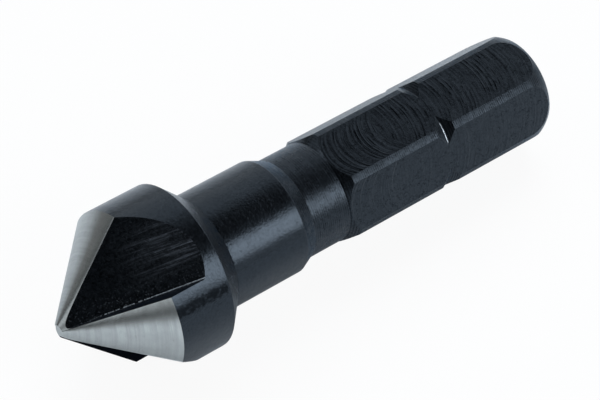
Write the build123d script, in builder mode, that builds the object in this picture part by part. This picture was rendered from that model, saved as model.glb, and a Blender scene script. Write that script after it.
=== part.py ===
from build123d import *
import math
import os

# A three-flute countersink bit on a quarter-inch hex shank, turned, milled and ground from one
# round steel bar. It lies on its side as it rests: the back edge of the head and the far end of
# one hex flat touch the ground. The nose points to -X and the shank to +X. Sizes are in mm and
# degrees.

# Whole tool
overall_length = 33.43
bar_diameter = 7.08
edge_break = 0.08

# Cutting head
head_diameter = 10.1
head_length = 8.13
head_back_angle = 46.0
head_back_fillet = 0.15
point_angle = 90.0
nose_diameter = 0.9

# Flutes: straight V cuts, each with a rake face in line with the tool axis and a sloping wall
flute_count = 3
flute_turn = 38.2
flute_lead = 0.65
flute_slope = 33.9
flute_angle = 105.9
flute_root_radius = 0.1

# Lands: each is part of a cone whose axis is set off ahead of its cutting edge, for clearance
land_offset = 0.125

# Body behind the head, and the neck behind the body
body_length = 6.35
body_taper_angle = 24.0
neck_diameter = 6.25
neck_length = 3.42
shoulder_angle = 36.0

# Hex shank, with a V notch round its corners for a ball or a spring ring. The notch's walls
# are very slightly hollow.
hex_sides = 6
hex_across_flats = 6.35
notch_from_end = 8.0
notch_width = 1.24
notch_floor_diameter = 6.5
notch_floor_radius = 0.12
notch_wall_radius = 8.0
end_rounding_length = 1.6
end_face_diameter = 6.04

# Radii, and stations along the tool axis from the nose
bar_radius = bar_diameter / 2
head_radius = head_diameter / 2
neck_radius = neck_diameter / 2
nose_radius = nose_diameter / 2
end_radius = end_face_diameter / 2
flat_radius = hex_across_flats / 2
half_point = math.radians(point_angle / 2)
apex_lead = nose_radius / math.tan(half_point)
cone_length = head_radius / math.tan(half_point) - apex_lead
head_back = head_length + (head_radius - bar_radius) / math.tan(math.radians(head_back_angle))
body_end = head_length + body_length
taper_end = body_end + (bar_radius - neck_radius) / math.tan(math.radians(body_taper_angle))
neck_end = body_end + neck_length
shoulder_end = neck_end + (bar_radius - neck_radius) / math.tan(math.radians(shoulder_angle))
notch_station = overall_length - notch_from_end
notch_start = notch_station - notch_width / 2
notch_finish = notch_station + notch_width / 2
notch_radius = notch_floor_diameter / 2
rounding_start = overall_length - end_rounding_length
rounding_drop = bar_radius - end_radius
rounding_radius = (end_rounding_length**2 + rounding_drop**2) / (2 * rounding_drop)

# A flat ends where the rounded end has come down to its level
flat_drop = bar_radius - flat_radius
flat_end = rounding_start + math.sqrt(flat_drop * (2 * rounding_radius - flat_drop))

# Each flute's V starts at its root, with one side radial and the other leaning back from it. The
# section reaches well past the head.
flute_pitch = 360 / flute_count
flute_wall = math.radians(flute_angle)
flute_reach = overall_length
wall_rise = flute_reach * math.cos(flute_wall)
wall_depth = flute_reach * math.sin(flute_wall)

# At rest the tool axis dips towards the shank, so that the head and the end of the lowest flat
# meet the ground. The origin is on the ground, under the middle of the tool.
rest_tilt = math.atan2(head_radius - flat_radius, flat_end - head_length)
axis_dir = Vector(math.cos(rest_tilt), 0, -math.sin(rest_tilt))
up_dir = Vector(math.sin(rest_tilt), 0, math.cos(rest_tilt))
side_dir = Vector(0, -1, 0)
nose_reach = nose_radius * math.sin(rest_tilt)
end_reach = overall_length * math.cos(rest_tilt) + end_radius * math.sin(rest_tilt)
nose_height = head_radius * math.cos(rest_tilt) + head_length * math.sin(rest_tilt)
nose = Vector((nose_reach - end_reach) / 2, 0, nose_height)
tool_axis = Axis(nose, axis_dir)
profile_plane = Plane(origin=nose, x_dir=axis_dir, z_dir=side_dir)


def cross_plane(station):
    """The plane square to the tool axis at a station, with its X upwards."""
    return Plane(origin=nose + axis_dir * station, x_dir=up_dir, z_dir=axis_dir)


def flute_plane(flute):
    """The plane square to a flute's root line, where that line meets the tool axis."""
    slope = math.radians(flute_slope)
    rake_dir = up_dir.rotate(tool_axis, flute_turn + flute * flute_pitch)
    outwards = rake_dir * math.cos(slope) - axis_dir * math.sin(slope)
    along = axis_dir * math.cos(slope) + rake_dir * math.sin(slope)
    return Plane(origin=nose - axis_dir * flute_lead, x_dir=outwards, z_dir=along)


def land_waste(flute):
    """What grinding takes off one land: all that lies outside a cone set off to the side."""
    edge_turn = flute_turn + flute * flute_pitch
    offset_dir = up_dir.rotate(tool_axis, edge_turn - 90)
    apex = nose - axis_dir * apex_lead + offset_dir * land_offset
    reach = head_diameter
    outer_reach = reach * math.tan(half_point)
    with BuildPart() as waste:
        with BuildSketch(Plane(origin=apex, x_dir=axis_dir, z_dir=side_dir)):
            with BuildLine():
                Polyline((0, 0), (reach, outer_reach), (0, outer_reach), close=True)
            make_face()
        revolve(axis=Axis(apex, axis_dir))
        with BuildSketch(cross_plane(-apex_lead)):
            with BuildLine():
                rim = CenterArc((0, 0), 2 * reach, edge_turn, flute_pitch)
                Polyline(rim @ 1, (0, 0), rim @ 0)
            make_face()
        extrude(amount=reach, mode=Mode.INTERSECT)
    return waste.part


land_wastes = [land_waste(flute) for flute in range(flute_count)]

with BuildPart() as countersink_bit:
    # The turned blank
    with BuildSketch(profile_plane) as blank:
        with BuildLine():
            Line((rounding_start, bar_radius), (notch_finish, bar_radius))
            RadiusArc((notch_finish, bar_radius), (notch_station, notch_radius), notch_wall_radius)
            RadiusArc((notch_station, notch_radius), (notch_start, bar_radius), notch_wall_radius)
            Polyline(
                (notch_start, bar_radius),
                (shoulder_end, bar_radius),
                (neck_end, neck_radius),
                (taper_end, neck_radius),
                (body_end, bar_radius),
                (head_back, bar_radius),
                (head_length, head_radius),
                (cone_length, head_radius),
                (0, nose_radius),
                (0, 0),
                (overall_length, 0),
                (overall_length, end_radius),
            )
            RadiusArc((rounding_start, bar_radius), (overall_length, end_radius), rounding_radius)
        make_face()
        back_edge = blank.vertices().group_by(Axis.Y)[-1].sort_by(Axis.X)[-1]
        head_corner, body_edge, shoulder_edge = blank.vertices().group_by(Axis.Y)[-2].sort_by(Axis.X)[:3]
        fillet([back_edge, body_edge, shoulder_edge], edge_break)
        fillet(head_corner, head_back_fillet)
        notch_floor = blank.vertices().sort_by_distance((notch_station, notch_radius))[0]
        fillet(notch_floor, notch_floor_radius)
    revolve(axis=tool_axis)

    # The hex flats, milled from the neck to the end
    with BuildSketch(cross_plane(neck_end)):
        Circle(bar_diameter)
        RegularPolygon(
            flat_radius,
            hex_sides,
            major_radius=False,
            rotation=180 / hex_sides,
            mode=Mode.SUBTRACT,
        )
    extrude(amount=overall_length - neck_end, mode=Mode.SUBTRACT)

    # The ground lands, then the flutes between them
    for waste in land_wastes:
        add(waste, mode=Mode.SUBTRACT)
    for flute in range(flute_count):
        with BuildSketch(flute_plane(flute)) as flute_section:
            with BuildLine():
                Polyline(
                    (0, 0),
                    (flute_reach, 0),
                    (flute_reach, -wall_depth),
                    (wall_rise, -wall_depth),
                    close=True,
                )
            make_face()
            fillet(flute_section.vertices().sort_by_distance((0, 0))[0], flute_root_radius)
        extrude(amount=flute_reach, both=True, mode=Mode.SUBTRACT)

countersink_bit.part.label = "countersink_bit"
os.makedirs("parts", exist_ok=True)
export_step(countersink_bit.part, "parts/countersink_bit.step")
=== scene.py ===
"""Dresses a three-flute countersink bit and sets up a plain studio round it."""

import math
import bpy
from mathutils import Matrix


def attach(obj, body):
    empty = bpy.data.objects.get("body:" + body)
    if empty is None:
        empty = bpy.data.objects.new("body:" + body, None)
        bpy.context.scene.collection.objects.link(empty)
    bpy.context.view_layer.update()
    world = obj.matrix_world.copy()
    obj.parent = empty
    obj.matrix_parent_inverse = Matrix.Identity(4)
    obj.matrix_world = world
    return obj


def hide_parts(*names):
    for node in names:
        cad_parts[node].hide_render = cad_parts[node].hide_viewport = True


bl_info = {
    "name": "Countersink bit",
    "version": (1, 0, 0),
    "blender": (4, 5, 0),
    "location": "3D View > Sidebar > Countersink",
    "description": "Finishes a countersink bit in black and ground steel, with a studio for it",
    "category": "Object",
}

import bmesh
import bpy
import numpy as np
from bpy.props import FloatProperty, FloatVectorProperty, PointerProperty
from mathutils import Matrix, Vector

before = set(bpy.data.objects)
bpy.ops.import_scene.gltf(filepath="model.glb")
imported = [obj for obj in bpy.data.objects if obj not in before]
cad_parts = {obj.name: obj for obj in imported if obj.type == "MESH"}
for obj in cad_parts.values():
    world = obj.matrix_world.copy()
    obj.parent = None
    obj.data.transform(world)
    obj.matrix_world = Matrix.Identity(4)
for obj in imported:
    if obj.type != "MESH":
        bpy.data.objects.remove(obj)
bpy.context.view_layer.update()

MM = 0.001
STEEL_NODE = "countersink_bit"
PIECE_NAME = "bit_steel"
FLUTES = 3
HEX_SIDES = 6

# Surfaces of the bit, in the order of its material slots
TURNED, GROUND, MILLED, FLUTE, RAKE = range(5)

# A face belongs to a surface when its corners lie this close to it, in millimetres, and the
# cosine between their normals is at least this
FACE_GAP = 2e-3
FACE_LEAN = 0.85

# Corners of the CAD mesh this close together, in metres, are one, and shorter edges are closed
WELD = 1e-7
SHORTEST_EDGE = 1e-8

# The least length that a direction is worked out from
TINY = 1e-9

# Colours of the small marks in the black film and on the bare steel, and of the painted
# highlights on the notch floor, beside the flute roots and along the land heels
FILM_FLECK = (0.011, 0.013, 0.016)
NOTCH_PAINTED_HIGHLIGHT = (0.5, 0.56, 0.62)
WALL_STREAK_TONE = (0.062, 0.072, 0.088)
WALL_STAIN = (0.008, 0.0095, 0.012)
WALL_SPECK = (0.026, 0.030, 0.035)
ROOT_PAINTED_HIGHLIGHT = (0.27, 0.31, 0.35)
RAKE_STAIN = (0.004, 0.006, 0.011)
WHEEL_STREAK = (0.26, 0.27, 0.27)
HEEL_PAINTED_HIGHLIGHT = (0.60, 0.63, 0.64)
STEEL_PIT = (0.2, 0.19, 0.16)

# Marks on the steel: turns round the tool axis from the top, of the painted highlight on the
# notch floor and of the painted shade band along the head, then the pitch of the turned ridges,
# and how far the run-out arcs reach from the start of the hex, in millimetres
NOTCH_HIGHLIGHT_TURN = math.radians(33)
PAINTED_BAND_TURN = math.radians(50)
RIDGES_PER_MM = 7.2
RUN_OUT = 3.33

# How deep the fine marks of each finish are, in metres
TURNED_DEPTH = 2.6e-6
GROUND_DEPTH = 2.4e-6
MILLED_DEPTH = 2.2e-5
FLUTE_DEPTH = 7e-6
RAKE_DEPTH = 6e-6


def length(name, text, millimetres):
    return FloatProperty(name=name, description=text, default=millimetres * MM, unit="LENGTH",
                         precision=5)


def angle(name, text, degrees):
    return FloatProperty(name=name, description=text, default=math.radians(degrees),
                         subtype="ANGLE")


def colour(name, text, value):
    return FloatVectorProperty(name=name, description=text, default=value, subtype="COLOR",
                               size=3, min=0, max=1)


class BitSizes(bpy.types.PropertyGroup):
    overall_length: length("Overall length", "Nose to shank end along the tool axis", 33.43)
    nose_diameter: length("Nose diameter", "Width of the blunt nose", 0.9)
    head_diameter: length("Head diameter", "Width across the cutting head", 10.1)
    head_length: length("Head length", "Nose to the head's back edge", 8.13)
    head_back_angle: angle("Head back angle", "Slope of the cone behind the head", 46)
    head_back_fillet: length("Head back fillet", "Radius where the head meets the body", 0.15)
    bar_diameter: length("Bar diameter", "Width of the body and across the hex corners", 7.08)
    body_length: length("Body length", "Head's back edge to the end of the body", 6.35)
    body_taper_angle: angle("Body taper", "Slope from the body down to the neck", 24)
    neck_diameter: length("Neck diameter", "Width of the neck", 6.25)
    neck_length: length("Neck length", "End of the body to the shoulder", 3.42)
    shoulder_angle: angle("Shoulder angle", "Slope from the neck up to the hex", 36)
    edge_break: length("Edge break", "Radius of the turned edges", 0.08)
    hex_across_flats: length("Hex across flats", "Width of the shank across two flats", 6.35)
    notch_from_end: length("Notch place", "Middle of the notch to the shank end", 8.0)
    notch_width: length("Notch width", "Width of the notch at the corners", 1.24)
    notch_floor_diameter: length("Notch floor", "Width across the notch floor", 6.5)
    notch_floor_radius: length("Notch floor radius", "Radius at the notch floor", 0.12)
    notch_wall_radius: length("Notch wall radius", "Hollow of the notch walls", 8.0)
    end_rounding: length("End rounding", "Length of the rounded shank end", 1.6)
    end_face_diameter: length("End face", "Width of the flat end of the shank", 6.04)
    flute_turn: angle("Flute turn", "Turn of the first cutting edge from the top", 38.2)
    flute_lead: length("Flute lead", "How far ahead of the nose the flute roots cross", 0.65)
    flute_slope: angle("Flute slope", "Slope of the flute roots", 33.9)
    flute_angle: angle("Flute angle", "Angle between a flute's rake face and its wall", 105.9)
    flute_root: length("Flute root radius", "Radius at the bottom of each flute", 0.1)
    land_offset: length("Land offset", "How far each land's axis is set off for clearance", 0.125)
    land_angle: angle("Land angle", "Half of the included angle of the point", 45)


class BitColours(bpy.types.PropertyGroup):
    black: colour("Black oxide", "Dark oxide film on the turned steel", (0.0016, 0.0019, 0.0025))
    flute_black: colour("Flute black", "Oxide in the flutes", (0.0008, 0.0009, 0.0011))
    sheen: colour("Oxide sheen", "Cool tint of the oxide's reflections", (0.63, 0.80, 1.0))
    steel: colour("Ground steel", "Bare ground steel of the lands", (0.44, 0.46, 0.455))
    floor: colour("Floor", "Studio floor", (0.70, 0.75, 0.80))


# Shapes, worked out in millimetres in the tool's own frame: station along the axis from the
# nose, then up and sideways square to it. Each surface is a function that measures how far
# off it points are, and which way it faces there

class ToolFrame:
    """Where the tool lies: its nose, and its axis, upward and sideways directions."""

    def __init__(self, sizes):
        flat = sizes.hex_across_flats / 2
        bar = sizes.bar_diameter / 2
        end = sizes.end_face_diameter / 2
        head = sizes.head_diameter / 2
        drop = bar - end
        self.round_radius = (sizes.end_rounding**2 + drop**2) / (2 * drop)
        flat_drop = bar - flat
        flat_end = (sizes.overall_length - sizes.end_rounding
                    + math.sqrt(flat_drop * (2 * self.round_radius - flat_drop)))
        tilt = math.atan2(head - flat, flat_end - sizes.head_length)
        sine, cosine = math.sin(tilt), math.cos(tilt)
        self.axis = np.array((cosine, 0, -sine))
        self.up = np.array((sine, 0, cosine))
        self.side = np.array((0, -1.0, 0))
        nose_reach = sizes.nose_diameter / 2 * sine
        end_reach = sizes.overall_length * cosine + end * sine
        nose_height = head * cosine + sizes.head_length * sine
        self.nose = np.array(((nose_reach - end_reach) / 2, 0, nose_height))
        self.turning = np.stack((self.axis, self.up, self.side))

    def to_tool(self, points):
        return (points - self.nose) @ self.turning.T / MM

    def to_world(self, directions):
        return directions @ self.turning


def outwards(points, off_centre=(0, 0)):
    """Distance from an axis along the tool and the unit direction away from it."""
    away = points[:, 1:] - np.array(off_centre)
    reach = np.linalg.norm(away, axis=1)
    return reach, away / np.maximum(reach, TINY)[:, None]


def flat_face(point, normal):
    """A plane through a point."""
    point, normal = np.array(point, float), np.array(normal, float)

    def measure(points):
        return (points - point) @ normal, np.tile(normal, (len(points), 1))

    return measure


def straight_turned(start, slope, off_centre=(0, 0)):
    """A cylinder or a cone: a straight line of that slope, turned round an axis."""
    sine, cosine = math.sin(slope), math.cos(slope)

    def measure(points):
        reach, away = outwards(points, off_centre)
        gap = (reach - start[1]) * cosine - (points[:, 0] - start[0]) * sine
        return gap, np.column_stack((np.full(len(points), -sine), away * cosine))

    return measure


def round_turned(centre, radius, facing=1):
    """An arc turned round the tool axis. It faces 1 outwards or -1 towards its centre."""

    def measure(points):
        reach, away = outwards(points)
        along = points[:, 0] - centre[0]
        across = reach - centre[1]
        span = np.maximum(np.hypot(along, across), TINY)
        normal = np.column_stack((along / span, away * (across / span)[:, None]))
        return span - radius, normal * facing

    return measure


def root_trough(point, direction, radius):
    """The rounded bottom of a flute."""

    def measure(points):
        offset = points - point
        offset = offset - (offset @ direction)[:, None] * direction
        span = np.maximum(np.linalg.norm(offset, axis=1), TINY)
        return span - radius, -offset / span[:, None]

    return measure


def corner_centre(first, second, radius, bulge):
    """Centre of the radius between two straight lines of the profile, each (start, slope)."""
    rows, levels = [], []
    for start, slope in (first, second):
        rows.append((-math.sin(slope), math.cos(slope)))
        levels.append(start[1] * math.cos(slope) - start[0] * math.sin(slope) - bulge * radius)
    return np.linalg.solve(np.array(rows), np.array(levels))


class Stations:
    """Where each turned surface starts, in millimetres along the tool axis from the nose."""

    def __init__(self, sizes):
        rise = (sizes.head_diameter - sizes.bar_diameter) / 2 / MM
        fall = (sizes.bar_diameter - sizes.neck_diameter) / 2 / MM
        self.head_back = sizes.head_length / MM
        self.body = self.head_back + rise / math.tan(sizes.head_back_angle)
        self.taper = self.head_back + sizes.body_length / MM
        self.neck = self.taper + fall / math.tan(sizes.body_taper_angle)
        self.shoulder = self.taper + sizes.neck_length / MM
        self.hex = self.shoulder + fall / math.tan(sizes.shoulder_angle)
        self.end = sizes.overall_length / MM
        self.notch = self.end - sizes.notch_from_end / MM
        self.rounding = self.end - sizes.end_rounding / MM


def turned_profile(sizes, place):
    """The bit's turned surfaces, from the head to the shank end."""
    at = Stations(sizes)
    edge = sizes.edge_break / MM
    head, bar = sizes.head_diameter / 2 / MM, sizes.bar_diameter / 2 / MM
    neck = sizes.neck_diameter / 2 / MM
    straight = {
        "head": ((0, head), 0),
        "head_back": ((at.head_back, head), -sizes.head_back_angle),
        "body": ((at.body, bar), 0),
        "taper": ((at.taper, bar), -sizes.body_taper_angle),
        "neck": ((at.neck, neck), 0),
        "shoulder": ((at.shoulder, neck), sizes.shoulder_angle),
    }
    rounded = (
        ("head", "head_back", edge, 1),
        ("head_back", "body", sizes.head_back_fillet / MM, -1),
        ("body", "taper", edge, 1),
        ("shoulder", "body", edge, 1),
    )
    found = [(straight_turned(*line), TURNED) for line in straight.values()]
    for first, second, radius, bulge in rounded:
        centre = corner_centre(straight[first], straight[second], radius, bulge)
        found.append((round_turned(centre, radius, bulge), TURNED))

    # The notch: two hollow walls, with their centres outside the bar, and a round floor
    half, floor = sizes.notch_width / 2 / MM, sizes.notch_floor_diameter / 2 / MM
    hollow = sizes.notch_wall_radius / MM
    chord = math.hypot(half, bar - floor)
    lift = math.sqrt(hollow**2 - chord**2 / 4)
    aside = half / 2 - lift * (bar - floor) / chord
    level = (bar + floor) / 2 + lift * half / chord
    for way in (-1, 1):
        found.append((round_turned((at.notch + way * aside, level), hollow, -1), TURNED))
    root = sizes.notch_floor_radius / MM
    reach = math.sqrt((hollow - root)**2 - aside**2)
    found.append((round_turned((at.notch, level - reach), root, -1), TURNED))

    rounding = place.round_radius / MM
    found.append((round_turned((at.rounding, bar - rounding), rounding), TURNED))
    found.append((flat_face((at.end, 0, 0), (1, 0, 0)), TURNED))
    found.append((flat_face((0, 0, 0), (-1, 0, 0)), GROUND))
    return found


def cut_faces(sizes):
    """The milled flats, and each flute's land, rake face, wall and root."""
    found = []
    flat = sizes.hex_across_flats / 2 / MM
    for side in range(HEX_SIDES):
        turn = math.tau * side / HEX_SIDES
        normal = np.array((0, math.cos(turn), math.sin(turn)))
        found.append((flat_face(normal * flat, normal), MILLED))
    nose = sizes.nose_diameter / 2 / MM
    root = sizes.flute_root / MM
    slope, spread = sizes.flute_slope, sizes.flute_angle
    start = np.array((-sizes.flute_lead / MM, 0, 0))
    axis = np.array((1.0, 0, 0))
    for flute in range(FLUTES):
        turn = sizes.flute_turn + math.tau * flute / FLUTES
        rake = np.array((0, math.cos(turn), math.sin(turn)))
        ahead = np.array((0, math.sin(turn), -math.cos(turn)))
        out = rake * math.cos(slope) - axis * math.sin(slope)
        along = axis * math.cos(slope) + rake * math.sin(slope)
        wall = out * math.cos(spread) + ahead * math.sin(spread)
        wall_normal = out * math.sin(spread) - ahead * math.cos(spread)
        found.append((flat_face(start, ahead), RAKE))
        found.append((flat_face(start, wall_normal), FLUTE))
        middle = (out + wall) / np.linalg.norm(out + wall)
        centre = start + middle * root / math.sin(spread / 2)
        found.append((root_trough(centre, along, root), FLUTE))
        off = ahead[1:] * sizes.land_offset / MM
        found.append((straight_turned((0, nose), sizes.land_angle, off), GROUND))
    return found


def merged_copy(node):
    """A copy of a CAD node's mesh with its loose triangles joined up."""
    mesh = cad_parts[node].data.copy()
    mesh.name = PIECE_NAME
    work = bmesh.new()
    work.from_mesh(mesh)
    bmesh.ops.remove_doubles(work, verts=work.verts, dist=WELD)
    bmesh.ops.dissolve_degenerate(work, edges=work.edges, dist=SHORTEST_EDGE)
    open_edges = [edge for edge in work.edges if not edge.is_manifold]
    if open_edges:
        raise RuntimeError(f"the merged steel has {len(open_edges)} open edges")
    work.to_mesh(mesh)
    work.free()
    return mesh


def read_all(items, name, width, kind=float):
    """One property of every item of a mesh, that many values each, in rows of three values."""
    values = np.empty(len(items) * width, kind)
    items.foreach_get(name, values)
    return values.reshape(-1, 3)


def tool_steel(sizes, place, finishes):
    """A merged copy of the CAD solid, with each face's finish and its true smooth normals."""
    mesh = merged_copy(STEEL_NODE)
    points = place.to_tool(read_all(mesh.vertices, "co", 3))
    corners = read_all(mesh.loops, "vertex_index", 1, int)
    facing = read_all(mesh.polygons, "normal", 3) @ place.turning.T

    # Each face goes to the surface that it fits best, and a face that fits none stays flat
    surfaces = cut_faces(sizes) + turned_profile(sizes, place)
    scores = []
    for measure, _ in surfaces:
        gap, normal = measure(points)
        widest = np.abs(gap[corners]).max(axis=1)
        lean = np.einsum("fci,fi->fc", normal[corners], facing).min(axis=1)
        fits = (widest < FACE_GAP) & (lean > FACE_LEAN)
        scores.append(np.where(fits, widest - lean, np.inf))
    best = np.argmin(scores, axis=0)
    known = np.isfinite(np.min(scores, axis=0))
    normals = np.repeat(facing, 3, axis=0).reshape(-1, 3, 3)
    finish = np.full(len(facing), TURNED)
    for number, (measure, kind) in enumerate(surfaces):
        chosen = known & (best == number)
        if chosen.any():
            _, normal = measure(points[corners[chosen]].reshape(-1, 3))
            normals[chosen] = normal.reshape(-1, 3, 3)
            finish[chosen] = kind

    mesh.materials.clear()
    for material in finishes:
        mesh.materials.append(material)
    mesh.polygons.foreach_set("material_index", finish)
    mesh.polygons.foreach_set("use_smooth", np.ones(len(facing), bool))
    normals = place.to_world(normals.reshape(-1, 3))
    mesh.normals_split_custom_set([tuple(normal) for normal in normals])
    mesh.update()
    return mesh


# Materials

class Tree:
    """Adds nodes to one tree and joins them up."""

    def __init__(self, tree):
        self.tree = tree

    def add(self, kind, inputs=None, **settings):
        node = self.tree.nodes.new("ShaderNode" + kind)
        for name, value in settings.items():
            setattr(node, name, value)
        for name, value in (inputs or {}).items():
            self.feed(node.inputs[name], value)
        return node

    def feed(self, socket, value):
        if isinstance(value, bpy.types.NodeSocket):
            self.tree.links.new(value, socket)
        else:
            socket.default_value = value

    def math(self, operation, *values, clamp=False):
        node = self.add("Math", operation=operation, use_clamp=clamp)
        for number, value in enumerate(values):
            self.feed(node.inputs[number], value)
        return node.outputs[0]

    def times(self, first, *others):
        """All of the values multiplied together."""
        for other in others:
            first = self.math("MULTIPLY", first, other)
        return first

    def plus(self, first, second):
        return self.math("ADD", first, second)

    def minus(self, first, second):
        return self.math("SUBTRACT", first, second)

    def most(self, first, second, clamp=False):
        """The larger of two values."""
        return self.math("MAXIMUM", first, second, clamp=clamp)

    def scale_add(self, value, gain, offset):
        """The value times the gain, plus the offset."""
        return self.math("MULTIPLY_ADD", value, gain, offset)

    def away(self, value, middle):
        """How far a value is from the middle, on either side."""
        return self.math("ABSOLUTE", self.minus(value, middle))

    def vector(self, operation, first, second=(0, 0, 0)):
        node = self.add("VectorMath", operation=operation)
        self.feed(node.inputs[0], first)
        self.feed(node.inputs[1], second)
        scalar = operation in {"DOT_PRODUCT", "LENGTH"}
        return node.outputs["Value" if scalar else "Vector"]

    def combine(self, x, y, z):
        return self.add("CombineXYZ", {"X": x, "Y": y, "Z": z}).outputs[0]

    def band(self, value, low, high):
        """0 below low, 1 above high, eased between them. Low may be above high."""
        if low < high:
            limits = (low, high, 0.0, 1.0)
        else:
            limits = (high, low, 1.0, 0.0)
        names = ("From Min", "From Max", "To Min", "To Max")
        node = self.add("MapRange", {"Value": value, **dict(zip(names, limits))},
                        interpolation_type="SMOOTHSTEP")
        return node.outputs["Result"]

    def between(self, value, start, full, fade, stop):
        """0 up to start and past stop, 1 from full to fade, eased between them."""
        return self.times(self.band(value, start, full), self.band(value, stop, fade))

    def spread(self, value, low, high):
        """0 to 1 becomes low to high."""
        return self.scale_add(value, high - low, low)

    def noise(self, vector, scale, detail=2.0, roughness=0.5):
        node = self.add("TexNoise", {"Vector": vector, "Scale": scale, "Detail": detail,
                                     "Roughness": roughness})
        return node.outputs["Fac"]

    def blend(self, factor, first, second):
        """A mix of two colours. Inputs 6 and 7 and output 2 are the node's colour sockets."""
        node = self.add("Mix", data_type="RGBA")
        for number, value in ((0, factor), (6, first), (7, second)):
            if isinstance(value, tuple):
                value = (*value, 1)
            self.feed(node.inputs[number], value)
        return node.outputs[2]

    def group(self, group, inputs=None):
        return self.add("Group", inputs=inputs, node_tree=group).outputs


def new_group(name, inputs, outputs):
    """An empty shader group. Inputs are name: default, and only the output Place is a vector."""
    tree = bpy.data.node_groups.new(name, "ShaderNodeTree")
    for socket, default in inputs.items():
        made = tree.interface.new_socket(socket, in_out="INPUT", socket_type="NodeSocketFloat")
        made.default_value = default
    for socket in outputs:
        kind = "NodeSocketVector" if socket == "Place" else "NodeSocketFloat"
        tree.interface.new_socket(socket, in_out="OUTPUT", socket_type=kind)
    start = tree.nodes.new("NodeGroupInput")
    end = tree.nodes.new("NodeGroupOutput")
    return tree, Tree(tree), start.outputs, end.inputs


def place_group(place):
    """Where a point is on the tool, in millimetres and radians."""
    tree, build, _, out = new_group("place_on_tool", {},
                                    ("Station", "Up", "Side", "Radius", "Turn", "Place"))
    spot = build.add("TexCoord").outputs["Object"]
    offset = build.vector("SUBTRACT", spot, tuple(place.nose))
    values = {}
    for name, direction in (("Station", place.axis), ("Up", place.up), ("Side", place.side)):
        values[name] = build.vector("DOT_PRODUCT", offset, tuple(direction / MM))
    values["Place"] = build.combine(values["Station"], values["Up"], values["Side"])
    across = build.combine(0.0, values["Up"], values["Side"])
    values["Radius"] = build.vector("LENGTH", across)
    values["Turn"] = build.math("ARCTAN2", values["Side"], values["Up"])
    for name, value in values.items():
        build.feed(out[name], value)
    return tree


def line_group(place_tree):
    """Fine lines running round the tool, as a turning tool or a grinding wheel leaves them."""
    tree, build, start, out = new_group("lines_round_tool",
                                        {"Lines per mm": 9.0, "Waver": 0.25}, ("Height",))
    where = build.group(place_tree)
    station = build.times(where["Station"], start["Lines per mm"])
    up = build.times(where["Up"], start["Waver"])
    side = build.times(where["Side"], start["Waver"])
    build.feed(out["Height"], build.noise(build.combine(station, up, side), 1.0, 3.0, 0.6))
    return tree


def grain_group(place_tree):
    """Fine grain in the black film, and marks where it is above a level."""
    tree, build, start, out = new_group(
        "film_grain", {"Grains per mm": 8.0, "Detail": 3.0, "Roughness": 0.7, "Marks from": 0.45,
                       "Marks to": 0.65}, ("Grain", "Marks"))
    where = build.group(place_tree)
    grain = build.noise(where["Place"], start["Grains per mm"], start["Detail"],
                        start["Roughness"])
    marks = build.add("MapRange", {"Value": grain, "From Min": start["Marks from"],
                                   "From Max": start["Marks to"]},
                      interpolation_type="SMOOTHSTEP")
    build.feed(out["Grain"], grain)
    build.feed(out["Marks"], marks.outputs["Result"])
    return tree


def flat_group(place_tree):
    """Where a point is on its hex flat: how far across it, and which flat it is."""
    tree, build, _, out = new_group("place_on_flat", {}, ("Across", "Flat"))
    where = build.group(place_tree)
    step = math.tau / HEX_SIDES
    flat = build.math("ROUND", build.math("DIVIDE", where["Turn"], step))
    lean = build.minus(where["Turn"], build.times(flat, step))
    build.feed(out["Across"], build.times(where["Radius"], build.math("SINE", lean)))
    build.feed(out["Flat"], flat)
    return tree


def milling_arcs(build, where, across, seed, radius, offset, way, pitch):
    """Height and dark cuts of the arcs of one cutter, fed along the flat one way or the other."""
    inside = build.minus(build.math("POWER", radius, 2.0),
                         build.math("POWER", build.plus(across, offset), 2.0))
    bow = build.math("SQRT", build.most(inside, 0.0))
    line = build.times(build.scale_add(bow, -way, where["Station"]), pitch)
    slip = build.noise(build.combine(build.times(line, 0.35), 0.0, seed), 1.0, 2.0)
    line = build.scale_add(slip, 1.6, line)
    coarse = build.noise(build.combine(line, build.times(across, 0.12), seed), 1.0, 2.0, 0.55)
    fine = build.noise(build.combine(build.times(line, 3.0), build.times(across, 0.5), seed),
                       1.0, 2.0, 0.5)
    wave = build.math("SINE", build.times(line, math.tau))
    height = build.scale_add(wave, 0.06, build.scale_add(fine, 0.25, coarse))
    broken = build.noise(build.combine(build.times(line, 0.8), across, seed), 1.0, 3.0, 0.6)
    return height, build.times(build.band(wave, 0.45, 0.95), build.band(broken, 0.45, 0.6))


def milling_group(place_tree, flat_tree, at):
    """Arcs that an end mill leaves as it is fed along a flat, and the arcs where it ran out."""
    tree, build, start, out = new_group(
        "milling_arcs", {"Cutter radius": 3.8, "Run-out radius": 2.1, "Arcs per mm": 3.3},
        ("Height", "Cuts"))
    where, flat = build.group(place_tree), build.group(flat_tree)
    across = flat["Across"]
    drift = build.noise(where["Place"], 0.5, 1.0)
    seed = build.scale_add(flat["Flat"], 7.3, build.times(drift, 0.4))
    shared = (build, where, across, seed)
    fed = milling_arcs(*shared, start["Cutter radius"], 0.4, 1.0, start["Arcs per mm"])
    ran_out = milling_arcs(*shared, start["Run-out radius"], 0.0, -1.0, start["Arcs per mm"])

    # The run-out arcs stop at a curved rim
    rim = build.plus(where["Station"],
                     build.times(build.math("POWER", build.plus(across, 0.3), 2.0), -0.3))
    early = build.band(rim, at.hex + RUN_OUT + 0.15, at.hex + RUN_OUT)
    late = build.minus(1.0, early)
    for name, near, far in zip(("Height", "Cuts"), ran_out, fed):
        build.feed(out[name], build.plus(build.times(near, early), build.times(far, late)))
    return tree


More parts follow.
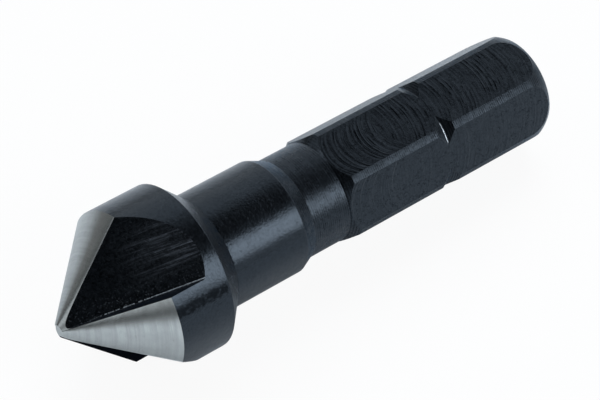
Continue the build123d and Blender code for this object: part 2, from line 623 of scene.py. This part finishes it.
def flute_group(place_tree, sizes):
    """Where a point is in its flute: along the root, out from it and ahead up the wall."""
    tree, build, _, out = new_group("place_in_flute", {},
                                    ("Along", "Out", "Ahead", "Flute", "Wall gap"))
    where = build.group(place_tree)
    step, quarter = math.tau / FLUTES, math.tau / 4
    turned = build.plus(where["Turn"], quarter - sizes.flute_turn + math.tau)
    flute = build.math("FLOOR", build.math("DIVIDE", turned, step))
    lean = build.minus(build.minus(turned, build.times(flute, step)), quarter)
    up = build.times(where["Radius"], build.math("COSINE", lean))
    behind = build.times(where["Radius"], build.math("SINE", lean))
    station = build.plus(where["Station"], sizes.flute_lead / MM)
    sine, cosine = math.sin(sizes.flute_slope), math.cos(sizes.flute_slope)
    outward = build.minus(build.times(up, cosine), build.times(station, sine))
    build.feed(out["Along"], build.plus(build.times(station, cosine), build.times(up, sine)))
    build.feed(out["Out"], outward)
    build.feed(out["Ahead"], build.times(behind, -1.0))
    build.feed(out["Flute"], flute)
    gap = build.times(outward, -math.sin(sizes.flute_angle))
    build.feed(out["Wall gap"], build.scale_add(behind, -math.cos(sizes.flute_angle), gap))
    return tree


def new_material(name):
    """A material with one Principled shader, with its tree builder and the shader's sockets."""
    material = bpy.data.materials.new(name)
    material.use_nodes = True
    material.node_tree.nodes.clear()
    build = Tree(material.node_tree)
    shader = build.add("BsdfPrincipled")
    build.feed(build.add("OutputMaterial").inputs["Surface"], shader.outputs[0])
    return material, build, shader.inputs


def bumped(build, shader, height, depth):
    bump = build.add("Bump", {"Height": height, "Distance": depth, "Strength": 1.0})
    build.feed(shader["Normal"], bump.outputs[0])


def oxide(shader, colours, roughness=0.25, ior=1.5):
    """The plain values of the black film."""
    shader["IOR"].default_value = ior
    shader["Roughness"].default_value = roughness
    shader["Specular Tint"].default_value = (*colours.sheen, 1)


def notch_painted_highlight(build, where, at):
    """A painted highlight along the bottom of the notch, on the one corner of the hex that faces
    the key light.
    """
    floor = build.band(build.away(where["Station"], at.notch + 0.02), 0.036, 0.014)
    corner = build.band(build.away(where["Turn"], NOTCH_HIGHLIGHT_TURN), 0.21, 0.17)
    return build.times(floor, corner)


def dark_corner_and_painted_band(build, where, at):
    """A darker mottled patch in the corner behind the head, and painted shade in a band along the
    head beside the key light's bright strip.
    """
    station, turn = where["Station"], where["Turn"]
    # From part way down the cone to just past the corner, and on the front of the tool only
    corner = build.between(station, at.head_back + 0.27, at.head_back + 0.77, at.body + 0.01,
                           at.body + 0.21)
    facing = build.between(turn, *(math.radians(degrees) for degrees in (-15, 5, 42, 62)))
    corner = build.times(corner, build.spread(facing, 0.1, 1.0))
    # Painted shade: a dark band along the head at one turn, beside the key light's bright strip
    painted_band = build.times(build.band(build.away(turn, PAINTED_BAND_TURN), 0.12, 0.03),
                        build.band(station, at.head_back - 0.03, at.head_back - 0.23))
    places = build.scale_add(corner, 0.6, build.times(painted_band, 0.9))
    scab = build.noise(where["Place"], 4.2, 5.0, 0.75)
    return build.band(build.scale_add(places, 0.35, scab), 0.63, 0.82)


def tool_ridges(build, where, at, coarse, corner):
    """Dark ridges round the roughly turned places, and the darker taper."""
    station = where["Station"]
    # The hex corners are smoother ahead of the notch
    smooth = build.times(corner, build.band(station, at.notch + 1.07, at.notch - 0.93))
    scored = build.scale_add(corner, -0.1, build.times(coarse, 0.65))
    scored = build.scale_add(smooth, -0.17, scored)
    ridges = build.math("SINE", build.times(station, math.tau * RIDGES_PER_MM))
    waver = build.noise(where["Place"], 2.5, 3.0, 0.6)
    ridges = build.times(build.band(ridges, 0.1, 0.9), build.band(waver, 0.3, 0.6))
    taper = build.between(station, at.taper - 0.03, at.taper + 0.07, at.neck - 0.06,
                          at.neck + 0.04)
    return build.scale_add(ridges, scored, build.times(taper, 0.28))


def turned_material(colours, groups, at):
    """Black film on the turned steel. A metallic spot in it throws less light back, so the darker
    corner patch, the painted shade band along the head, the grain and the ridges show as dark
    marks."""
    material, build, shader = new_material("black_steel_turned")
    oxide(shader, colours)
    where = build.group(groups["place"])
    station, spot = where["Station"], where["Place"]

    # The cone behind the head, the neck and the hex corners are turned roughly
    corner = build.band(station, at.hex + 0.03, at.hex + 0.23)
    cone = build.between(station, at.head_back - 0.08, at.head_back + 0.07, at.body - 0.09,
                         at.body + 0.11)
    coarse = build.plus(build.band(station, at.taper - 0.03, at.taper + 0.12),
                        build.times(build.band(station, at.hex - 0.07, at.hex + 0.13), 0.6))
    coarse = build.scale_add(cone, 0.5, coarse)

    fleck = build.band(build.noise(spot, 8.0, 3.0, 0.7), 0.5, 0.75)
    film = build.blend(fleck, tuple(colours.black), FILM_FLECK)
    # Painted highlight: the notch floor is painted bright on the corner that faces the key light
    build.feed(shader["Base Color"], build.blend(notch_painted_highlight(build, where, at), film,
                                                 NOTCH_PAINTED_HIGHLIGHT))

    grain = build.group(groups["grain"], {"Grains per mm": 9.0, "Detail": 3.0,
                                          "Roughness": 0.75, "Marks from": 0.47,
                                          "Marks to": 0.68})["Marks"]
    rounding = build.band(station, at.rounding - 0.23, at.rounding + 0.07)
    dark = build.scale_add(grain, build.scale_add(rounding, -0.3, 0.42),
                           tool_ridges(build, where, at, coarse, corner))
    # The darker corner patch, and the painted shade band along the head
    dark_corner_and_band = build.times(dark_corner_and_painted_band(build, where, at), 0.75)
    build.feed(shader["Metallic"], build.most(dark_corner_and_band, dark, clamp=True))

    lines = build.group(groups["lines"], {"Lines per mm": 7.0, "Waver": 0.10})["Height"]
    broad = build.group(groups["lines"], {"Lines per mm": 1.6, "Waver": 0.05})["Height"]
    mottle = build.noise(spot, 2.2, 5.0, 0.62)
    grit = build.noise(spot, 9.0, 3.0, 0.6)
    rough = build.spread(build.scale_add(lines, 0.4, mottle), 0.0, 0.26)
    build.feed(shader["Roughness"], build.scale_add(coarse, 0.08, rough))
    height = build.times(lines, build.scale_add(coarse, 3.5, 2.0))
    height = build.scale_add(mottle, 5.0, build.scale_add(broad, 2.5, height))
    height = build.scale_add(grit, build.scale_add(corner, 2.0, 3.0), height)
    bumped(build, shader, height, TURNED_DEPTH)
    return material


def ground_material(colours, groups):
    """Bare steel of the lands, with the wheel's lines, a painted highlight along the deburred
    heel and a few pits.
    """
    material, build, shader = new_material("bare_steel_ground")
    shader["Metallic"].default_value = 1
    where, flute = build.group(groups["place"]), build.group(groups["flute"])
    lines = build.group(groups["lines"], {"Lines per mm": 9.0, "Waver": 0.16})["Height"]
    broad = build.group(groups["lines"], {"Lines per mm": 3.4, "Waver": 0.35})["Height"]
    cloud = build.noise(where["Place"], 1.6, 4.0, 0.65)
    dull, clean = (tuple(share * value for value in colours.steel) for share in (0.82, 1.2))
    tone = build.blend(cloud, dull, clean)
    streak = build.times(build.band(lines, 0.36, 0.66), 0.3)
    tone = build.blend(streak, tone, WHEEL_STREAK)
    # Painted highlight along each land's deburred heel edge
    heel = build.times(build.band(flute["Wall gap"], 0.075, 0.03),
                       build.band(flute["Ahead"], 0.05, 0.2),
                       build.band(where["Station"], 1.0, 4.4))
    tone = build.blend(heel, tone, HEEL_PAINTED_HIGHLIGHT)
    pits = build.band(build.noise(where["Place"], 4.5, 4.0, 0.7), 0.62, 0.72)
    tone = build.blend(build.times(pits, 0.6), tone, STEEL_PIT)
    build.feed(shader["Base Color"], tone)
    build.feed(shader["Roughness"], build.spread(lines, 0.14, 0.28))
    bumped(build, shader, build.scale_add(broad, 0.6, lines), GROUND_DEPTH)
    return material


def milled_material(colours, groups, at):
    """Black film on the hex flats, over the end mill's arcs."""
    material, build, shader = new_material("black_steel_milled")
    oxide(shader, colours)
    shader["Base Color"].default_value = (*colours.black, 1)
    where = build.group(groups["place"])
    arcs, flat = build.group(groups["milling"]), build.group(groups["flat"])
    grain = build.group(groups["grain"], {"Grains per mm": 8.0, "Detail": 4.0,
                                          "Roughness": 0.75, "Marks from": 0.47,
                                          "Marks to": 0.62})
    patches = build.band(build.noise(where["Place"], 0.7, 2.0), 0.38, 0.62)
    build.feed(shader["Roughness"], build.spread(grain["Grain"], 0.14, 0.36))
    # Burnt film in the deepest cuts throws hardly any light back. Flat 1 is cut lightly, and
    # the cuts are worn off near the end
    lightly = build.band(build.away(flat["Flat"], 1.0), 0.2, 0.8)
    worn = build.band(where["Station"], at.rounding - 0.23, at.rounding - 1.23)
    cuts = build.times(arcs["Cuts"], build.spread(lightly, 0.3, 1.0),
                       build.spread(patches, 0.6, 1.0), worn)
    blotch = build.band(build.noise(where["Place"], 2.4, 3.0, 0.6), 0.4, 0.6)
    film = build.times(grain["Marks"], build.spread(blotch, 0.2, 0.6))
    build.feed(shader["Metallic"], build.most(cuts, film))
    run_out = build.band(where["Station"], at.hex + RUN_OUT, at.hex + RUN_OUT - 0.8)
    depth = build.scale_add(run_out, 0.7, build.spread(patches, 0.6, 1.3))
    height = build.scale_add(grain["Grain"], 0.45, build.times(arcs["Height"], depth))
    bumped(build, shader, height, MILLED_DEPTH)
    return material


def root_painted_highlight(build, flute, grain):
    """A painted highlight beside a flute's root, broken into beads towards the nose."""
    along, ahead = flute["Along"], flute["Ahead"]
    line = build.between(ahead, 0.045, 0.065, 0.095, 0.115)
    beads = build.noise(build.combine(build.times(along, 4.6), 0.0, flute["Flute"]),
                        1.0, 2.0, 0.5)
    worn = build.spread(build.band(grain, 0.4, 0.56), 0.35, 0.9)
    whole = build.times(build.band(along, 5.6, 6.6), worn)
    return build.times(line, build.most(build.band(beads, 0.46, 0.54), whole),
                       build.band(along, 2.2, 3.8))


def flute_material(colours, groups):
    """Black film in the flutes, streaked lighter on the walls and darker towards the nose, with a
    painted highlight beside each root.
    """
    material, build, shader = new_material("black_steel_fluted")
    oxide(shader, colours, 0.3)
    where, flute = build.group(groups["place"]), build.group(groups["flute"])
    along, ahead, outward = flute["Along"], flute["Ahead"], flute["Out"]
    fine = build.noise(build.combine(build.times(along, 0.45), build.times(ahead, 14.0),
                                     outward), 1.0, 4.0, 0.7)
    wide = build.noise(build.combine(build.times(along, 0.25), build.times(ahead, 3.0),
                                     outward), 1.0, 2.0, 0.5)
    grain = build.group(groups["grain"], {"Grains per mm": 7.0, "Detail": 5.0,
                                          "Roughness": 0.7, "Marks from": 0.44,
                                          "Marks to": 0.6})
    # The wall is streaked lighter far from the nose and the root
    streaked_zone = build.times(build.band(along, 4.6, 7.8), build.between(ahead, 0.4, 1.9, 2.9, 4.1))
    scored = build.times(build.band(fine, 0.43, 0.6), build.band(wide, 0.36, 0.6))
    film = build.blend(build.times(streaked_zone, build.spread(scored, 0.08, 1.0)),
                       tuple(colours.flute_black), WALL_STREAK_TONE)
    stain = build.band(build.noise(where["Place"], 2.6, 5.0, 0.7), 0.42, 0.62)
    film = build.blend(build.times(stain, 0.4), film, WALL_STAIN)
    specks = build.times(build.band(build.noise(where["Place"], 10.0, 2.0, 0.5), 0.56, 0.7),
                         build.band(ahead, 1.8, 0.1))
    film = build.blend(specks, film, WALL_SPECK)
    # Painted highlight beside each flute's root
    line = root_painted_highlight(build, flute, grain["Grain"])
    build.feed(shader["Base Color"], build.blend(line, film, ROOT_PAINTED_HIGHLIGHT))
    # Darker towards the nose, and at the grain's marks
    darker_nose_and_marks = build.scale_add(build.band(along, 7.2, 2.4), 0.2, build.times(grain["Marks"], 0.6))
    bare = build.minus(1.0, build.most(line, specks))
    build.feed(shader["Metallic"], build.math("MULTIPLY", darker_nose_and_marks, bare, clamp=True))
    build.feed(shader["Roughness"], build.spread(grain["Grain"], 0.12, 0.4))
    height = build.scale_add(grain["Grain"], 2.4, build.times(fine, 2.4))
    bumped(build, shader, height, FLUTE_DEPTH)
    return material


def rake_material(colours, groups):
    """The rake faces, under a dull film that hardly shines at a low angle."""
    material, build, shader = new_material("black_steel_rake")
    oxide(shader, colours, 0.4, 1.08)
    where = build.group(groups["place"])
    stain = build.noise(where["Place"], 3.0, 4.0, 0.6)
    build.feed(shader["Base Color"], build.blend(stain, tuple(colours.flute_black), RAKE_STAIN))
    grain = build.group(groups["grain"], {"Grains per mm": 9.0, "Detail": 3.0,
                                          "Roughness": 0.6})["Grain"]
    build.feed(shader["Roughness"], build.spread(grain, 0.25, 0.5))
    bumped(build, shader, grain, RAKE_DEPTH)
    return material


class BIT_OT_steel(bpy.types.Operator):
    """Make the bit's steel body with its turned, ground, milled, fluted and rake finishes"""
    bl_idname = "countersink.steel"
    bl_label = "Bit steel"

    def execute(self, context):
        sizes, colours = context.scene.bit_sizes, context.scene.bit_colours
        place, at = ToolFrame(sizes), Stations(sizes)
        place_tree = place_group(place)
        flat_tree = flat_group(place_tree)
        groups = {
            "place": place_tree,
            "lines": line_group(place_tree),
            "grain": grain_group(place_tree),
            "flat": flat_tree,
            "milling": milling_group(place_tree, flat_tree, at),
            "flute": flute_group(place_tree, sizes),
        }
        finishes = (turned_material(colours, groups, at), ground_material(colours, groups),
                    milled_material(colours, groups, at), flute_material(colours, groups),
                    rake_material(colours, groups))
        steel = bpy.data.objects.new(PIECE_NAME, tool_steel(sizes, place, finishes))
        context.scene.collection.objects.link(steel)
        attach(steel, "root")
        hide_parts(STEEL_NODE)
        return {"FINISHED"}


# The studio

# The camera's place in metres and its unit directions, looking down over the nose
CAMERA_PLACE = (-0.0580522, -0.0510433, 0.1260553)
CAMERA_RIGHT = (0.79023629, -0.59991559, 0.1250116)
CAMERA_DOWN = (-0.46205038, -0.71730832, -0.52151532)
CAMERA_AHEAD = (0.40253703, 0.35435867, -0.84403429)
CAMERA_NEAREST = 0.005

# Focal length and sensor width in millimetres
CAMERA_LENS = 151.033
CAMERA_SENSOR = 36.0

# Half the floor's width in metres, the colour of its painted dark side, which stands in for a
# dark room in reflections, how much brighter its front left is than the painted shade near the
# tool, and the share of white that the camera sees over it
FLOOR_REACH = 1.5
FLOOR_PAINTED_DARK = (0.2, 0.2, 0.2)
FLOOR_LIGHTEN = 1.22
FLOOR_WHITE = 0.93

# Brightness of the surroundings: the room, the screen in it and the low glow behind the nose,
# and the shares of red and green against blue
ROOM_GLOW = 0.035
SCREEN_GLOW = 0.92
LOW_GLOW = 0.85
ROOM_TINT = (0.89, 0.95)


def compass(azimuth, elevation):
    """The unit direction at an azimuth and elevation in degrees."""
    across, height = math.radians(azimuth), math.radians(elevation)
    return Vector((math.cos(height) * math.cos(across), math.cos(height) * math.sin(across),
                   math.sin(height)))


def soft_box(name, azimuth, elevation, away, width, height, radiance, glossy=True):
    """A soft rectangular lamp that faces the origin. Its radiance is for each unit of area."""
    lamp = bpy.data.lights.new(name, "AREA")
    lamp.shape = "RECTANGLE"
    lamp.size, lamp.size_y = width, height
    lamp.energy = radiance * math.pi * width * height
    holder = bpy.data.objects.new(name, lamp)
    bpy.context.scene.collection.objects.link(holder)
    towards = compass(azimuth, elevation)
    holder.location = towards * away
    holder.rotation_euler = towards.to_track_quat("Z", "Y").to_euler()
    holder.visible_glossy = glossy
    holder.visible_camera = False


def white_to_camera(build, shader, white, share, output):
    """Ends a shader tree: the shader, under that share of white where the camera sees it."""
    cover = build.add(white, {"Color": (1, 1, 1, 1), "Strength": 1.0})
    seen = build.times(build.add("LightPath").outputs["Is Camera Ray"], share)
    mixed = build.add("MixShader", {0: seen, 1: shader.outputs[0], 2: cover.outputs[0]})
    build.feed(build.add(output).inputs["Surface"], mixed.outputs[0])


def studio_world():
    """Dim surroundings with a bright screen beyond the shank and a low glow behind the nose."""
    world = bpy.data.worlds.new("studio")
    bpy.context.scene.world = world
    world.use_nodes = True
    world.node_tree.nodes.clear()
    build = Tree(world.node_tree)
    way = build.add("TexCoord").outputs["Generated"]
    beyond = build.vector("DOT_PRODUCT", way, tuple(compass(0, 0)))
    height = build.add("SeparateXYZ", {"Vector": way}).outputs["Z"]
    screen = build.times(build.band(beyond, 0.14, 0.30), build.band(height, 0.86, 0.64))
    hole = build.band(build.vector("DOT_PRODUCT", way, tuple(compass(-4, 5))), 0.978, 0.990)
    screen = build.times(screen, build.minus(1.0, build.times(hole, 0.65)))
    low_glow = build.times(build.band(beyond, 0.05, -0.25),
                           build.between(height, 0.07, 0.19, 0.3, 0.6))
    glow = build.scale_add(low_glow, LOW_GLOW, build.spread(screen, ROOM_GLOW, SCREEN_GLOW))
    red, green = (build.times(glow, share) for share in ROOM_TINT)
    tone = build.add("CombineColor", {"Red": red, "Green": green, "Blue": glow})
    room = build.add("Background", {"Color": tone.outputs[0], "Strength": 1.0})
    white_to_camera(build, room, "Background", 1.0, "OutputWorld")


def floor_material(colours):
    """Pale floor with painted shade: dark to the back left, standing in for a dark room in
    reflections, and darker near the tool than further to the front left. Mostly reflections show
    that, because the camera sees it nearly white."""
    material = bpy.data.materials.new("studio_floor")
    material.use_nodes = True
    material.node_tree.nodes.clear()
    build = Tree(material.node_tree)
    spot = build.add("TexCoord").outputs["Object"]
    front_right = build.vector("DOT_PRODUCT", spot, tuple(compass(-37, 0)))
    front_left = build.vector("DOT_PRODUCT", spot, tuple(compass(-139, 0)))
    pale = tuple(colours.floor)
    light = tuple(FLOOR_LIGHTEN * value for value in pale)
    # Painted shade: darker near the tool, and dark to the back left for reflections
    painted_floor = build.blend(build.band(front_left, 0.024, 0.044), pale, light)
    painted_floor = build.blend(build.band(front_right, -0.048, -0.014), FLOOR_PAINTED_DARK, painted_floor)
    matt = build.add("BsdfDiffuse", {"Color": painted_floor})
    white_to_camera(build, matt, "Emission", FLOOR_WHITE, "OutputMaterial")
    return material


def studio_floor(colours):
    """One large square on the ground."""
    work = bmesh.new()
    bmesh.ops.create_grid(work, x_segments=1, y_segments=1, size=FLOOR_REACH)
    mesh = bpy.data.meshes.new("floor")
    work.to_mesh(mesh)
    work.free()
    mesh.materials.append(floor_material(colours))
    floor = bpy.data.objects.new("floor", mesh)
    bpy.context.scene.collection.objects.link(floor)


def studio_camera():
    """A long lens that looks down over the nose and along the tool."""
    lens = bpy.data.cameras.new("camera")
    lens.sensor_width = CAMERA_SENSOR
    lens.lens = CAMERA_LENS
    lens.clip_start = CAMERA_NEAREST
    camera = bpy.data.objects.new("camera", lens)
    bpy.context.scene.collection.objects.link(camera)
    turned = Matrix((CAMERA_RIGHT, -Vector(CAMERA_DOWN), -Vector(CAMERA_AHEAD))).transposed()
    camera.matrix_world = Matrix.Translation(CAMERA_PLACE) @ turned.to_4x4()
    bpy.context.scene.camera = camera


class BIT_OT_stage(bpy.types.Operator):
    """Set up the floor, the surroundings, the lamps and the camera"""
    bl_idname = "countersink.stage"
    bl_label = "Studio"

    def execute(self, context):
        studio_floor(context.scene.bit_colours)
        studio_world()
        soft_box("key_box", azimuth=-52, elevation=34, away=0.7, width=0.28, height=0.36,
                 radiance=4.2)
        soft_box("left_box", azimuth=132, elevation=42, away=0.9, width=0.4, height=0.4,
                 radiance=2.0)
        soft_box("top_fill", azimuth=60, elevation=56, away=1.0, width=0.8, height=0.8,
                 radiance=4.6, glossy=False)
        studio_camera()
        context.scene.view_settings.view_transform = "Standard"
        return {"FINISHED"}


class BIT_PT_panel(bpy.types.Panel):
    """Lists the bit's pieces, sizes and colours"""
    bl_idname = "BIT_PT_panel"
    bl_label = "Countersink bit"
    bl_space_type = "VIEW_3D"
    bl_region_type = "UI"
    bl_category = "Countersink"

    def draw(self, context):
        for operator in (BIT_OT_steel, BIT_OT_stage):
            self.layout.operator(operator.bl_idname)
        for group in (context.scene.bit_sizes, context.scene.bit_colours):
            box = self.layout.box()
            for name in group.__annotations__:
                box.prop(group, name)


CLASSES = (BitSizes, BitColours, BIT_OT_steel, BIT_OT_stage, BIT_PT_panel)


def register():
    for item in CLASSES:
        bpy.utils.register_class(item)
    bpy.types.Scene.bit_sizes = PointerProperty(type=BitSizes)
    bpy.types.Scene.bit_colours = PointerProperty(type=BitColours)


def unregister():
    del bpy.types.Scene.bit_colours
    del bpy.types.Scene.bit_sizes
    for item in reversed(CLASSES):
        bpy.utils.unregister_class(item)


def main():
    """Build everything."""
    register()
    bpy.ops.countersink.steel()
    bpy.ops.countersink.stage()


if __name__ == "__main__":
    main()
